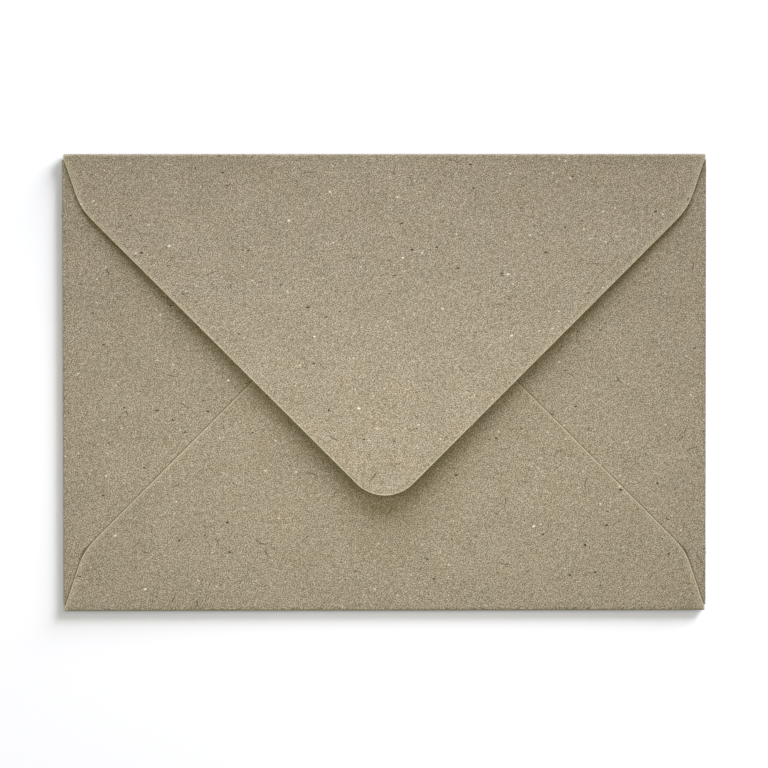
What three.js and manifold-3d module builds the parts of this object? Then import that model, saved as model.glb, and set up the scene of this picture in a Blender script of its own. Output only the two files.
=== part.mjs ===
// A C6 envelope of recycled paper with a V-shaped closure flap, folded from one die-cut sheet.
// Millimetres, +Z up. It lies on its address side with its middle over the origin, and its
// closure fold is towards +Y. Two glued seams hold the pocket together, and the closure flap
// stands a little open on its crease, as it does before the envelope is sealed.
import * as THREE from "three";
import { mergeVertices } from "three/addons/utils/BufferGeometryUtils.js";
import Module from "manifold-3d";

// The closed envelope
const ENVELOPE_WIDTH = 162; // along X, over both side folds
const ENVELOPE_HEIGHT = 115; // along Y, from the bottom fold to the closure fold
const PAPER_THICKNESS = 0.2;
const POCKET_CLEARANCE = 0.8; // between the front panel and the side flaps, where the card goes

// The closure flap, measured from the envelope's top edge and side edges
const CLOSURE_DEPTH = 85.6;
const CLOSURE_SHOULDER_DEPTH = 14.1;
const CLOSURE_SHOULDER_INSET = 4.8;
const CLOSURE_SHOULDER_RADIUS = 16;
const CLOSURE_TIP_RADIUS = 10;
const CLOSURE_LIFT_DEGREES = 3; // how far the crease holds the unsealed flap off the pocket
const CLOSED_GAP = 0.3; // left between the gum and the bottom flap when the flap is pressed down

// The bottom flap, measured from the envelope's bottom edge and side edges
const BOTTOM_DEPTH = 87;
const BOTTOM_SHOULDER_DEPTH = 15.2;
const BOTTOM_SHOULDER_INSET = 5.2;
const BOTTOM_SHOULDER_RADIUS = 16;
const BOTTOM_TIP_RADIUS = 10;

// The side flaps, measured from the envelope's side edge and its top and bottom edges
const SIDE_DEPTH = 63;
const SIDE_SHOULDER_DEPTH = 14.1;
const SIDE_SHOULDER_INSET = 4.8;
const SIDE_SHOULDER_RADIUS = 16;
const SIDE_TIP_RADIUS = 10;

// The glue under the bottom flap's two slanted edges
const GLUE_THICKNESS = 0.1;
const GLUE_WIDTH = 6;
const GLUE_INSET = 3; // from the bottom flap's edge
const GLUE_START = 7; // from the shoulder, along the edge
const GLUE_MARGIN = 2; // of side flap left bare beyond the glue

// The dried gum inside the closure flap
const GUM_THICKNESS = 0.1;
const GUM_WIDTH = 7;
const GUM_INSET = 2; // from the flap's edge
const GUM_START = 6; // from the shoulder, along the edge
const GUM_GAP = 0.05; // between the gum's film and the flap's flat face

// Clearances
const CORNER_CLEARANCE = 0.3; // where one fold runs out beside the next
const CREASE_GAP = 0.02; // between the closure crease and the root of the flap that turns on it
const SMALLEST_RADIUS = 0.5;
const LONGEST_ROUNDED_SHARE = 0.8; // of the shorter edge beside a rounded corner

const TIP_SEGMENTS = 24;
const ROLL_SEGMENTS = 14;
const MERGE_DISTANCE = 1e-4;

// The rolls of the folds: each is as high as what it wraps round
const sideRoll = (PAPER_THICKNESS + POCKET_CLEARANCE + PAPER_THICKNESS) / 2;
const bottomRoll = (2 * sideRoll + GLUE_THICKNESS + PAPER_THICKNESS) / 2;
const closedStack = 2 * bottomRoll + CLOSED_GAP + GUM_THICKNESS + GUM_GAP + PAPER_THICKNESS;
const closureRoll = closedStack / 2;
const closureLift = THREE.MathUtils.degToRad(CLOSURE_LIFT_DEGREES);

const halfWidth = ENVELOPE_WIDTH / 2;
const halfHeight = ENVELOPE_HEIGHT / 2;

const wasm = await Module();
wasm.setup();

// Brown-grey recycled paper, and the films of adhesive on it
const paper = new THREE.MeshStandardMaterial({ color: 0xa39880, roughness: 0.95, metalness: 0 });
const driedGum = new THREE.MeshStandardMaterial({ color: 0x93865f, roughness: 0.3, metalness: 0 });
const driedGlue = new THREE.MeshStandardMaterial({ color: 0xcfc7ae, roughness: 0.6, metalness: 0 });

// A flap lies below its fold in its own frame: X runs along the fold and -Y towards the tip,
// both measured from the middle of the envelope's edge.
function flapPlan(sizes) {
  const { edgeHalf, rootHalf, roll, depth, tipRadius } = sizes;
  const { shoulderDepth, shoulderInset, shoulderRadius } = sizes;
  const root = new THREE.Vector2(rootHalf, -roll);
  const shoulder = new THREE.Vector2(edgeHalf - shoulderInset, -shoulderDepth);
  const tipCentre = new THREE.Vector2(0, tipRadius - depth);
  const toCentre = tipCentre.clone().sub(shoulder);
  const lean = Math.asin(tipRadius / toCentre.length());
  const slant = toCentre.clone().normalize().rotateAround(new THREE.Vector2(), lean);
  const slantLength = Math.sqrt(toCentre.lengthSq() - tipRadius ** 2);
  const inward = new THREE.Vector2(slant.y, -slant.x);
  return { root, shoulder, shoulderRadius, tipCentre, tipRadius, slant, slantLength, inward };
}

function mirrored(point) {
  return new THREE.Vector2(-point.x, point.y);
}

// Rounds the corner between two straight edges, turning anticlockwise.
function addRoundCorner(shape, before, corner, after, radius) {
  const arriving = corner.clone().sub(before);
  const leaving = after.clone().sub(corner);
  const turn = Math.acos(arriving.clone().normalize().dot(leaving.clone().normalize()));
  const longestCut = Math.min(arriving.length(), leaving.length()) * LONGEST_ROUNDED_SHARE;
  const cut = Math.min(radius * Math.tan(turn / 2), longestCut);
  const fitted = cut / Math.tan(turn / 2);
  const start = corner.clone().addScaledVector(arriving.normalize(), -cut);
  const centre = new THREE.Vector2(-arriving.y, arriving.x).multiplyScalar(fitted).add(start);
  const startAngle = Math.atan2(start.y - centre.y, start.x - centre.x);
  shape.absarc(centre.x, centre.y, fitted, startAngle, startAngle + turn, false);
}

// The point where a line set in from the plan's slanted edge starts or ends.
function onSlant(plan, along, inset) {
  return plan.shoulder.clone().addScaledVector(plan.slant, along).addScaledVector(plan.inward, inset);
}

// The round tip between the two slanted edges, or between two lines set in from them.
function addTipArc(shape, plan, inset, turnsAnticlockwise) {
  const radius = Math.max(plan.tipRadius - inset, SMALLEST_RADIUS);
  const centreY = plan.tipCentre.y + (radius + inset - plan.tipRadius) / plan.inward.y;
  const rightAngle = Math.atan2(-plan.inward.y, -plan.inward.x);
  const leftAngle = -Math.PI - rightAngle;
  if (turnsAnticlockwise) {
    shape.absarc(0, centreY, radius, leftAngle, rightAngle, false);
  } else {
    shape.absarc(0, centreY, radius, rightAngle, leftAngle, true);
  }
}

function flapShape(plan) {
  const tipStart = onSlant(plan, plan.slantLength, 0);
  const shape = new THREE.Shape();
  shape.moveTo(plan.root.x, plan.root.y);
  shape.lineTo(-plan.root.x, plan.root.y);
  const { root, shoulder, shoulderRadius } = plan;
  addRoundCorner(shape, mirrored(root), mirrored(shoulder), mirrored(tipStart), shoulderRadius);
  addTipArc(shape, plan, 0, true);
  addRoundCorner(shape, tipStart, shoulder, root, shoulderRadius);
  shape.closePath();
  return shape;
}

// A flat sheet with its underside at z = 0.
function sheetOf(shape, thickness) {
  const settings = { depth: thickness, bevelEnabled: false, curveSegments: TIP_SEGMENTS };
  return new THREE.ExtrudeGeometry(shape, settings);
}

// The half-round roll of a fold, with its axis along X at the frame's origin. It starts under
// the axis, bulges towards +Y and comes back over the axis.
function foldRoll(outerRadius, length, sweep) {
  const low = -Math.PI / 2;
  const section = new THREE.Shape();
  section.absarc(0, 0, outerRadius, low, low + sweep, false);
  section.absarc(0, 0, outerRadius - PAPER_THICKNESS, low + sweep, low, true);
  section.closePath();
  const settings = { depth: length, bevelEnabled: false, curveSegments: ROLL_SEGMENTS };
  const geometry = new THREE.ExtrudeGeometry(section, settings);
  geometry.translate(0, 0, -length / 2);
  const outwards = new THREE.Vector3(0, 1, 0);
  const upwards = new THREE.Vector3(0, 0, 1);
  const along = new THREE.Vector3(1, 0, 0);
  return geometry.applyMatrix4(new THREE.Matrix4().makeBasis(outwards, upwards, along));
}

function solidOf(geometry) {
  const bare = geometry.index ? geometry.toNonIndexed() : geometry.clone();
  bare.deleteAttribute("normal");
  bare.deleteAttribute("uv");
  const merged = mergeVertices(bare, MERGE_DISTANCE);
  const vertProperties = new Float32Array(merged.getAttribute("position").array);
  const triVerts = new Uint32Array(merged.index.array);
  return new wasm.Manifold(new wasm.Mesh({ numProp: 3, vertProperties, triVerts }));
}

function geometryOf(solid) {
  const mesh = solid.getMesh();
  const geometry = new THREE.BufferGeometry();
  geometry.setAttribute("position", new THREE.BufferAttribute(mesh.vertProperties, mesh.numProp));
  geometry.setIndex(new THREE.BufferAttribute(mesh.triVerts, 1));
  const flat = geometry.toNonIndexed();
  flat.computeVertexNormals();
  return flat;
}

function piece(name, geometry, material) {
  const mesh = new THREE.Mesh(geometry, material);
  mesh.name = name;
  return mesh;
}

// A frame at one edge of the envelope. Its own +Y points outwards, so what is built in it for the
// top edge serves the other three when it is turned.
function edgeFrame(turn) {
  const frame = new THREE.Group();
  frame.rotation.z = turn;
  return frame;
}

// The outlines of the four flaps
const closurePlan = flapPlan({
  edgeHalf: halfWidth,
  rootHalf: halfWidth - CORNER_CLEARANCE,
  roll: closureRoll + CREASE_GAP,
  depth: CLOSURE_DEPTH,
  shoulderDepth: CLOSURE_SHOULDER_DEPTH,
  shoulderInset: CLOSURE_SHOULDER_INSET,
  shoulderRadius: CLOSURE_SHOULDER_RADIUS,
  tipRadius: CLOSURE_TIP_RADIUS,
});

const bottomPlan = flapPlan({
  edgeHalf: halfWidth,
  rootHalf: halfWidth - CORNER_CLEARANCE,
  roll: bottomRoll,
  depth: BOTTOM_DEPTH,
  shoulderDepth: BOTTOM_SHOULDER_DEPTH,
  shoulderInset: BOTTOM_SHOULDER_INSET,
  shoulderRadius: BOTTOM_SHOULDER_RADIUS,
  tipRadius: BOTTOM_TIP_RADIUS,
});

const sideFoldHalf = halfHeight - closureRoll - CORNER_CLEARANCE;

const sidePlan = flapPlan({
  edgeHalf: halfHeight,
  rootHalf: sideFoldHalf,
  roll: sideRoll,
  depth: SIDE_DEPTH,
  shoulderDepth: SIDE_SHOULDER_DEPTH,
  shoulderInset: SIDE_SHOULDER_INSET,
  shoulderRadius: SIDE_SHOULDER_RADIUS,
  tipRadius: SIDE_TIP_RADIUS,
});

// The address side, between the four folds.
function frontPanel() {
  const width = ENVELOPE_WIDTH - 2 * sideRoll;
  const height = ENVELOPE_HEIGHT - bottomRoll - closureRoll;
  const panel = piece("front_panel", new THREE.BoxGeometry(width, height, PAPER_THICKNESS), paper);
  panel.position.set(0, (bottomRoll - closureRoll) / 2, PAPER_THICKNESS / 2);
  return panel;
}

// A side flap is folded in first, so it lies on the pocket's space.
function sideFlap(side, turn) {
  const frame = edgeFrame(turn);
  const fold = piece(side + "_side_fold", foldRoll(sideRoll, 2 * sideFoldHalf, Math.PI), paper);
  fold.position.set(0, halfWidth - sideRoll, sideRoll);
  const flap = piece(side + "_side_flap", sheetOf(flapShape(sidePlan), PAPER_THICKNESS), paper);
  flap.position.set(0, halfWidth, 2 * sideRoll - PAPER_THICKNESS);
  frame.add(fold, flap);
  return frame;
}

// The bottom flap is folded up last and lies on the glue of both seams.
function bottomFlap() {
  const frame = edgeFrame(Math.PI);
  const fold = piece("bottom_fold", foldRoll(bottomRoll, ENVELOPE_WIDTH, Math.PI), paper);
  fold.position.set(0, halfHeight - bottomRoll, bottomRoll);
  const flap = piece("bottom_flap", sheetOf(flapShape(bottomPlan), PAPER_THICKNESS), paper);
  flap.position.set(0, halfHeight, 2 * bottomRoll - PAPER_THICKNESS);
  frame.add(fold, flap);
  return frame;
}

// A film of glue along one slanted edge of the bottom flap. It stops short of the side flap's
// rim, so it is cut by that flap's outline drawn smaller.
function seamGlue(name, side) {
  const end = bottomPlan.slantLength;
  const innerInset = GLUE_INSET + GLUE_WIDTH;
  const corners = [
    onSlant(bottomPlan, GLUE_START, GLUE_INSET),
    onSlant(bottomPlan, end, GLUE_INSET),
    onSlant(bottomPlan, end, innerInset),
    onSlant(bottomPlan, GLUE_START, innerInset),
  ];
  const band = corners.map((p) => new THREE.Vector2(side * p.x, -halfHeight - p.y));
  const film = sheetOf(new THREE.Shape(band), GLUE_THICKNESS);

  const smaller = flapPlan({
    edgeHalf: halfHeight,
    rootHalf: sideFoldHalf - GLUE_MARGIN,
    roll: sideRoll,
    depth: SIDE_DEPTH - GLUE_MARGIN,
    shoulderDepth: SIDE_SHOULDER_DEPTH,
    shoulderInset: SIDE_SHOULDER_INSET + GLUE_MARGIN,
    shoulderRadius: SIDE_SHOULDER_RADIUS,
    tipRadius: SIDE_TIP_RADIUS,
  });
  const backing = sheetOf(flapShape(smaller), GLUE_THICKNESS);
  backing.translate(0, halfWidth, 0);
  backing.rotateZ((side * -Math.PI) / 2);

  const glue = piece(name, geometryOf(solidOf(film).intersect(solidOf(backing))), driedGlue);
  glue.position.z = 2 * sideRoll;
  return glue;
}

// The band of gum follows both slanted edges and goes round the tip between them.
function gumShape() {
  const innerInset = GUM_INSET + GUM_WIDTH;
  const outerStart = onSlant(closurePlan, GUM_START, GUM_INSET);
  const innerStart = onSlant(closurePlan, GUM_START, innerInset);
  const shape = new THREE.Shape();
  shape.moveTo(-outerStart.x, outerStart.y);
  addTipArc(shape, closurePlan, GUM_INSET, true);
  shape.lineTo(outerStart.x, outerStart.y);
  shape.lineTo(innerStart.x, innerStart.y);
  addTipArc(shape, closurePlan, innerInset, false);
  shape.lineTo(-innerStart.x, innerStart.y);
  shape.closePath();
  return shape;
}

// The closure flap turns about the axis of its own roll. Its frame's origin is that axis, in the
// middle of the fold, and turning the frame by -lift about X raises the tip.
function closureFlap() {
  const hinge = new THREE.Group();
  hinge.position.set(0, halfHeight - closureRoll, closureRoll);
  const underside = closureRoll - PAPER_THICKNESS;
  const turning = new THREE.Group();
  turning.rotation.x = -closureLift;
  const flap = piece("closure_flap", sheetOf(flapShape(closurePlan), PAPER_THICKNESS), paper);
  flap.position.set(0, closureRoll, underside);
  const gum = piece("closure_gum", sheetOf(gumShape(), GUM_THICKNESS), driedGum);
  gum.position.set(0, closureRoll, underside - GUM_GAP - GUM_THICKNESS);
  turning.add(flap, gum);
  const sweep = Math.PI - closureLift;
  const fold = piece("closure_fold", foldRoll(closureRoll, ENVELOPE_WIDTH, sweep), paper);
  hinge.add(fold, turning);
  return hinge;
}

const envelope = new THREE.Group();
envelope.name = "envelope";
envelope.add(frontPanel());
envelope.add(sideFlap("left", Math.PI / 2), sideFlap("right", -Math.PI / 2));
envelope.add(seamGlue("left_seam_glue", -1), seamGlue("right_seam_glue", 1));
envelope.add(bottomFlap());
envelope.add(closureFlap());

export default envelope;
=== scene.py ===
import math

import bpy
import numpy as np
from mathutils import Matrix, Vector


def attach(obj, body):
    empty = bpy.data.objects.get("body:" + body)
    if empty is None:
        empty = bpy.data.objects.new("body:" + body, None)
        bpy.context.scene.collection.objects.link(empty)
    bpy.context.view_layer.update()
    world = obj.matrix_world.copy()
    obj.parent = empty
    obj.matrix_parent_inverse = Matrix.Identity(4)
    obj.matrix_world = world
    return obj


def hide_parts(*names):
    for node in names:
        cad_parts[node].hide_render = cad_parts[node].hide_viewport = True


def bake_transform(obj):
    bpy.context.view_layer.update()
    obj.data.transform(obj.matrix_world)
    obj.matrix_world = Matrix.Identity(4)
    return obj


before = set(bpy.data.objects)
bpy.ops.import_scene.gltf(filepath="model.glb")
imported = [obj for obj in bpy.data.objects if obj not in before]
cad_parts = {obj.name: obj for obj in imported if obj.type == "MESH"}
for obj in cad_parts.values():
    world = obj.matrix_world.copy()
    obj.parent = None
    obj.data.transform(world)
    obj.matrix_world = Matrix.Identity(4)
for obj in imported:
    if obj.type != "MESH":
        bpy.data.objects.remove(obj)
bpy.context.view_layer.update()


# Camera. The photograph looks down on the back of the envelope from almost straight above. Its
# top edge is a little longer than its bottom one, so the camera hangs a little above the middle.
PICTURE_SPAN = 0.1934
PICTURE_MIDDLE = (-0.00016, -0.00036, 0.0015)
PICTURE_ROLL = math.radians(0.05)
SIDE_LEAN = math.radians(0.4)
TOP_LEAN = math.radians(1.3)
LENS = 135
SENSOR = 36
NEAREST_SEEN = 0.01

camera_data = bpy.data.cameras.new("overhead_camera")
camera_data.sensor_width = SENSOR
camera_data.lens = LENS
camera_data.clip_start = NEAREST_SEEN
camera = bpy.data.objects.new("overhead_camera", camera_data)
bpy.context.collection.objects.link(camera)
camera.rotation_euler = (-TOP_LEAN, -SIDE_LEAN, -PICTURE_ROLL)
look_back = camera.rotation_euler.to_matrix() @ Vector((0, 0, PICTURE_SPAN * LENS / SENSOR))
camera.location = Vector(PICTURE_MIDDLE) + look_back
bpy.context.scene.camera = camera
bpy.context.scene.view_settings.view_transform = "Standard"


# Studio. A white sweep lies under the envelope. A wide soft box beyond the closure fold and a low
# strip lamp light the paper. The sweep has two lamps of its own, which leave it a soft shadow.
WORLD_LEVEL = 0.18
WORLD_COLOUR = (1, 0.85, 0.14, 1)
OVERHEAD = {"energy": 0.042, "size": (0.16, 0.04), "place": (0, -0.018, 0.085), "aim": (0, -0.018, 0),
            "colour": (1, 0.965, 0.86)}
KEY = {"energy": 64, "size": (1.8, 1.8), "place": (0, 1.79, 0.9), "colour": (0.9, 0.92, 1)}
FLOOR_LAMP = {"energy": 137, "size": (1.3, 1.3), "place": (1.36, 1.5, 0.56)}
FLOOR_FILL = {"energy": 10.6, "size": (1, 1), "place": (0, 0, 1.6), "colour": (0.88, 0.92, 1)}
SWEEP_COLOUR = (0.76, 0.772, 0.86, 1)
SWEEP_GLOW = 0.7
SWEEP_GLOW_START, SWEEP_GLOW_END = 0.09, 0.66
SWEEP_SIZE = 6
SWEEP_DROP = 0.0004


def feed(tree, socket, value):
    """Links a socket to the socket of another node, or gives it a value."""
    if isinstance(value, bpy.types.NodeSocket):
        tree.links.new(value, socket)
    else:
        socket.default_value = value


def put(tree, kind, **inputs):
    """Adds a node to a tree and sets its named properties and inputs."""
    node = tree.nodes.new(kind)
    for key, value in inputs.items():
        name = key.replace("_", " ")
        if name in node.inputs:
            feed(tree, node.inputs[name], value)
        else:
            setattr(node, key, value)
    return node


def seen_directly(tree):
    """1 for camera, glossy and transmission rays, and 0 for the rays that carry light."""
    path = put(tree, "ShaderNodeLightPath")
    shiny = put(tree, "ShaderNodeMath", operation="MAXIMUM")
    tree.links.new(path.outputs["Is Glossy Ray"], shiny.inputs[0])
    tree.links.new(path.outputs["Is Transmission Ray"], shiny.inputs[1])
    either = put(tree, "ShaderNodeMath", operation="MAXIMUM")
    tree.links.new(path.outputs["Is Camera Ray"], either.inputs[0])
    tree.links.new(shiny.outputs[0], either.inputs[1])
    return either.outputs[0]


def soft_lamp(name, energy, size, place, aim=(0, 0, 0), colour=(1, 1, 1)):
    lamp_data = bpy.data.lights.new(name, "AREA")
    lamp_data.shape = "RECTANGLE"
    lamp_data.size, lamp_data.size_y = size
    lamp_data.energy = energy
    lamp_data.color = colour
    lamp = bpy.data.objects.new(name, lamp_data)
    bpy.context.collection.objects.link(lamp)
    lamp.location = place
    lamp.rotation_euler = (Vector(aim) - Vector(place)).to_track_quat("-Z", "Y").to_euler()
    return lamp


soft_lamp("overhead_lamp", **OVERHEAD)
key_lamp = soft_lamp("key_lamp", **KEY)
floor_lamps = soft_lamp("floor_lamp", **FLOOR_LAMP), soft_lamp("floor_fill", **FLOOR_FILL)


def mixed(tree, factor, first, second, blend="MIX"):
    """A colour mix. Factor, first and second are sockets or values."""
    node = tree.nodes.new("ShaderNodeMix")
    node.data_type = "RGBA"
    node.blend_type = blend
    for index, value in ((0, factor), (6, first), (7, second)):
        feed(tree, node.inputs[index], value)
    return node.outputs[2]


world = bpy.data.worlds.new("studio")
world.use_nodes = True
bpy.context.scene.world = world
world_tree = world.node_tree
seen = seen_directly(world_tree)
level = put(world_tree, "ShaderNodeMapRange", Value=seen, To_Min=WORLD_LEVEL, To_Max=1.0)
background = world_tree.nodes["Background"]
world_tree.links.new(mixed(world_tree, seen, WORLD_COLOUR, (1, 1, 1, 1)), background.inputs["Color"])
world_tree.links.new(level.outputs["Result"], background.inputs["Strength"])

sweep_mesh = bpy.data.meshes.new("white_sweep")
half_sweep = SWEEP_SIZE / 2
corners = [(-1, -1), (1, -1), (1, 1), (-1, 1)]
sweep_corners = [(x * half_sweep, y * half_sweep, -SWEEP_DROP) for x, y in corners]
sweep_mesh.from_pydata(sweep_corners, [], [(0, 1, 2, 3)])
sweep = bpy.data.objects.new("white_sweep", sweep_mesh)
bpy.context.collection.objects.link(sweep)

# The floor lamps light the sweep alone, and the key lamp leaves it out.
floor_only = bpy.data.collections.new("floor_only")
floor_only.objects.link(sweep)
for lamp in floor_lamps:
    lamp.light_linking.receiver_collection = floor_only
all_but_floor = bpy.data.collections.new("all_but_floor")
all_but_floor.objects.link(sweep)
all_but_floor.collection_objects[0].light_linking.link_state = "EXCLUDE"
key_lamp.light_linking.receiver_collection = all_but_floor

sweep_material = bpy.data.materials.new("white_sweep")
sweep_material.use_nodes = True
sweep_tree = sweep_material.node_tree
sweep_tree.nodes.clear()
matt = put(sweep_tree, "ShaderNodeBsdfDiffuse", Color=SWEEP_COLOUR)
sweep_place = put(sweep_tree, "ShaderNodeTexCoord").outputs["Object"]
from_middle = put(sweep_tree, "ShaderNodeVectorMath", operation="LENGTH")
sweep_tree.links.new(sweep_place, from_middle.inputs[0])
glow_level = put(sweep_tree, "ShaderNodeMapRange", Value=from_middle.outputs["Value"],
                 From_Min=SWEEP_GLOW_START, From_Max=SWEEP_GLOW_END, To_Max=SWEEP_GLOW)
seen_glow = put(sweep_tree, "ShaderNodeMath", operation="MULTIPLY")
sweep_tree.links.new(seen_directly(sweep_tree), seen_glow.inputs[0])
sweep_tree.links.new(glow_level.outputs["Result"], seen_glow.inputs[1])
glow = put(sweep_tree, "ShaderNodeEmission", Strength=seen_glow.outputs[0])
both = put(sweep_tree, "ShaderNodeAddShader")
sweep_tree.links.new(matt.outputs[0], both.inputs[0])
sweep_tree.links.new(glow.outputs[0], both.inputs[1])
put(sweep_tree, "ShaderNodeOutputMaterial", Surface=both.outputs[0])
sweep_mesh.materials.append(sweep_material)


# Front panel. The address side of the die-cut sheet, cut from brown-grey paper made of mixed
# waste, with dark and pale flecks and short fibres all through it. It lies on the table.
ENVELOPE_WIDTH = 0.162
ENVELOPE_HEIGHT = 0.115
PAPER_THICKNESS = 0.0002
SIDE_ROLL = 0.0006
BOTTOM_ROLL = 0.00075
CLOSURE_ROLL = 0.001075
PANEL_COLUMNS = 160
PANEL_ROWS = 114
PANEL_COCKLE = 0.00012
PANEL_MARGIN = 0.012
PANEL_WAVES, PANEL_WAVE_LENGTHS = 6, (0.035, 0.09)
PANEL_WAVE_SEED, PANEL_FIBRE_SEED = 3, 10
SHARP_ANGLE = math.radians(50)
PAPER_COLOUR = (0.374, 0.326, 0.252, 1)
WARM_TINT = (1.012, 0.998, 0.985, 1)
COOL_TINT = (0.99, 1.002, 1.013, 1)
# Cut edges are paler: pale cut fibres, with a painted highlight in the band on the faces.
CUT_COLOUR = (0.74, 0.67, 0.51, 1)
PAPER_SHEEN = 0.2
PAPER_SMOOTHEST, PAPER_ROUGHER = 0.84, 0.14
FINE_GRAINS, FINE_SWING, FINE_RELIEF = 3500, 5.8, 0.6
PULP_GRAINS, PULP_SWING, PULP_RELIEF = 900, 0.95, 0.8
CLOUD_GRAINS, CLOUD_SWING = 120, 0.3
DARKEST_TONE = 0.25
GRAIN_TURN = 0.6
GRAIN_BLUE = 1.2
DYE_PATCHES, DYE_CONTRAST = 190, 3.0
FRAY_LEVEL = 0.45
FLECK_BENDS, FLECK_BEND = 900, 0.0005
FLECK_SMALLEST = 0.4
FLECK_SOLID = 0.7
DARK_FLECK = (0.045, 0.034, 0.02, 1)
BROWN_FLECK = (0.16, 0.11, 0.06, 1)
PALE_FLECK = (0.88, 0.86, 0.75, 1)
# Painted shade along the creases.
CREASE_SHADE = 0.05
# A dark line beside each glued seam: partly painted shadow, partly glue-soaked fibres.
SEAM_REACH = 0.004
SEAM_WIDTH = 0.0005
SEAM_COLOUR = (0.11, 0.092, 0.06, 1)
SEAM_SOAK_AND_SHADOW = 0.35
FIBRE_STEPS, FIBRE_SIDES = 5, 4
FIBRE_FLATNESS = 0.25
FIBRE_SMALLEST, FIBRE_LARGEST = (0.4, 0.6, 0.7), (1.8, 1.2, 1.1)
FIBRE_CURLS = 420
FIBRE_CURL = 0.0008
FIBRE_PATCHES = 1500
FIBRE_DARKEST = 0.6
HAIR_COLOUR = (0.14, 0.105, 0.06, 1)
STRAW_COLOUR = (0.62, 0.54, 0.38, 1)


def math_of(tree, operation, *values, clamp=False):
    """A maths node on sockets or numbers, in a shader tree or in a geometry tree."""
    node = tree.nodes.new("ShaderNodeMath")
    node.operation = operation
    node.use_clamp = clamp
    for index, value in enumerate(values):
        feed(tree, node.inputs[index], value)
    return node.outputs[0]


def noise_of(tree, vector, scale, detail, roughness=0.5):
    """A noise with its value and colour, at so many grains to the metre."""
    node = put(tree, "ShaderNodeTexNoise", Vector=vector, Scale=scale, Detail=detail)
    node.inputs["Roughness"].default_value = roughness
    return node


def fleck_mask(tree, vector, cells, radius, share, turn, stretch):
    """Scattered long flecks: one in each cell of a share of the cells, all turned one way."""
    turned = put(tree, "ShaderNodeMapping", Vector=vector)
    turned.inputs["Rotation"].default_value = (0, 0, turn)
    turned.inputs["Scale"].default_value = (1, stretch, 1)
    cell = put(tree, "ShaderNodeTexVoronoi", Vector=turned.outputs[0], Scale=cells)
    cell.voronoi_dimensions = "2D"
    parts = put(tree, "ShaderNodeSeparateColor", Color=cell.outputs["Color"])
    chosen = math_of(tree, "LESS_THAN", parts.outputs[0], share)
    largest = radius * cells
    size = math_of(tree, "MULTIPLY_ADD", parts.outputs[1], largest, largest * FLECK_SMALLEST)
    edge = math_of(tree, "DIVIDE", cell.outputs["Distance"], size)
    soft = put(tree, "ShaderNodeMapRange", Value=edge, From_Min=1.0, From_Max=FLECK_SOLID)
    return math_of(tree, "MULTIPLY", soft.outputs["Result"], chosen)


def group_socket(tree, name, kind, way="INPUT", value=None):
    """Adds an input or output to a node group or a geometry tree."""
    socket = tree.interface.new_socket(name=name, in_out=way, socket_type=kind)
    if value is not None:
        socket.default_value = value


pattern = bpy.data.node_groups.new("recycled_paper_pattern", "ShaderNodeTree")
group_socket(pattern, "Ground", "NodeSocketColor", value=PAPER_COLOUR)
group_socket(pattern, "Grain", "NodeSocketFloat", value=1.0)
group_socket(pattern, "Colour", "NodeSocketColor", "OUTPUT")
group_socket(pattern, "Height", "NodeSocketFloat", "OUTPUT")
group_socket(pattern, "Roughness", "NodeSocketFloat", "OUTPUT")
pattern_in = pattern.nodes.new("NodeGroupInput")
pattern_out = pattern.nodes.new("NodeGroupOutput")
sheet_place = put(pattern, "ShaderNodeAttribute", attribute_name="sheet").outputs["Vector"]

bend = noise_of(pattern, sheet_place, FLECK_BENDS, detail=1)
bent = put(pattern, "ShaderNodeVectorMath", operation="MULTIPLY_ADD")
pattern.links.new(bend.outputs["Color"], bent.inputs[0])
bent.inputs[1].default_value = (FLECK_BEND, FLECK_BEND, 0)
pattern.links.new(sheet_place, bent.inputs[2])
bent_place = bent.outputs[0]


def varied(tree, tone, noise, amount):
    """Multiplies a tone by a noise that keeps its average."""
    swing = math_of(tree, "MULTIPLY_ADD", noise, amount, 1 - amount / 2)
    return math_of(tree, "MULTIPLY", tone, swing)


# Three sizes of mottling, from single fibres to cloudy patches.
turned_place = put(pattern, "ShaderNodeVectorRotate", Vector=sheet_place, Angle=GRAIN_TURN).outputs[0]
fine = noise_of(pattern, turned_place, FINE_GRAINS, detail=2, roughness=0.8).outputs["Fac"]
pulp = noise_of(pattern, bent_place, PULP_GRAINS, detail=2, roughness=0.6).outputs["Fac"]
cloud = noise_of(pattern, sheet_place, CLOUD_GRAINS, detail=3, roughness=0.65).outputs["Fac"]
tone = varied(pattern, 1.0, fine, FINE_SWING)
tone = varied(pattern, tone, pulp, PULP_SWING)
tone = varied(pattern, tone, cloud, CLOUD_SWING)
tone = math_of(pattern, "MAXIMUM", tone, DARKEST_TONE)
grain_tone = math_of(pattern, "MULTIPLY_ADD", math_of(pattern, "SUBTRACT", tone, 1.0),
                     pattern_in.outputs["Grain"], 1.0)
# Paper near a crease is made darker here: painted shade along the fold.
crease = put(pattern, "ShaderNodeAttribute", attribute_name="crease").outputs["Fac"]
painted_crease_shade = math_of(pattern, "MULTIPLY_ADD", crease, -CREASE_SHADE, 1.0)
shade = math_of(pattern, "MULTIPLY", grain_tone, painted_crease_shade)
blue_shade = math_of(pattern, "POWER", shade, GRAIN_BLUE)
shades = put(pattern, "ShaderNodeCombineXYZ", X=shade, Y=shade, Z=blue_shade)
tinted = put(pattern, "ShaderNodeVectorMath", operation="MULTIPLY")
pattern.links.new(pattern_in.outputs["Ground"], tinted.inputs[0])
pattern.links.new(shades.outputs[0], tinted.inputs[1])
# The pale band at a cut edge, partly pale cut fibres and partly a painted highlight, and the
# faint line beside a glued flap are frayed by the paper's own grain.
cut = put(pattern, "ShaderNodeAttribute", attribute_name="cut").outputs["Fac"]
frayed_and_highlit = math_of(pattern, "MULTIPLY", cut, math_of(pattern, "ADD", fine, FRAY_LEVEL), clamp=True)
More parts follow.
